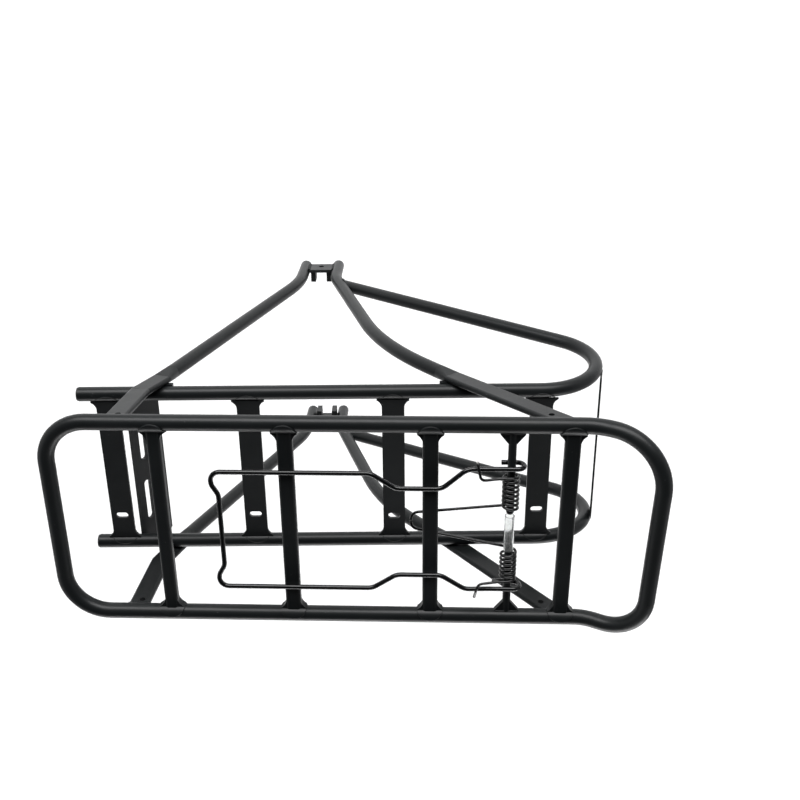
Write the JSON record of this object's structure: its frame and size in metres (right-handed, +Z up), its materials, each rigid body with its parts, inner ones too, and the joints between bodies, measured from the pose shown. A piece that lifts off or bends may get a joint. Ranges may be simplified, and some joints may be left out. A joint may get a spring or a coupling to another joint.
{
  "type": "bicycle rear rack",
  "caption": "Double-deck bicycle rear rack: tubular deck and lower battery tray on splayed legs, with a sprung wire bail on the deck.",
  "frame": {"origin": "on the dropout bolt axis, midway between the two foot brackets", "axes": "+X forward along the battery tray, +Y to the rider's left along the dropout bolt axis, +Z up towards the deck"},
  "size_m": [0.4508, 0.1794, 0.4277],
  "materials": {
    "frame": "satin",
    "wire": "gloss",
    "sleeve": "gloss",
    "plug": "satin"
  },
  "bodies": {
    "rack": {"deck_loop": "frame", "crossbar_front": "frame", "crossbar_second": "frame", "crossbar_third": "frame", "crossbar_rear": "frame", "hinge_pin_right": "frame", "hinge_pin_left": "frame", "front_leg_left": "frame", "front_leg_right": "frame", "rear_leg_left": "frame", "rear_leg_right": "frame", "tray_loop_left": "frame", "tray_loop_right": "frame", "tray_plate_1": "frame", "tray_plate_2": "frame", "tray_plate_3": "frame", "tray_plate_4": "frame", "front_slot_plate": "frame", "rear_light_plate": "frame", "front_spacer_left": "frame", "front_spacer_right": "frame", "rear_spacer_left": "frame", "rear_spacer_right": "frame", "foot_bracket_left": "frame", "foot_bracket_right": "frame", "tip_plug_left": "plug", "tip_plug_right": "plug", "pin_sleeve": "sleeve", "torsion_spring": "wire"},
    "bail": {"bail": "wire"}
  },
  "joints": [
    {"name": "bail_hinge", "type": "hinge", "parent": "rack", "child": "bail", "pos_m": [-0.15994, 0, 0.37838], "axis": [0, -1, 0], "range_deg": [0, 100], "stiffness_Nm_per_rad": 0.9, "springref_deg": -51.57, "deforming": ["torsion_spring"]}
  ]
}
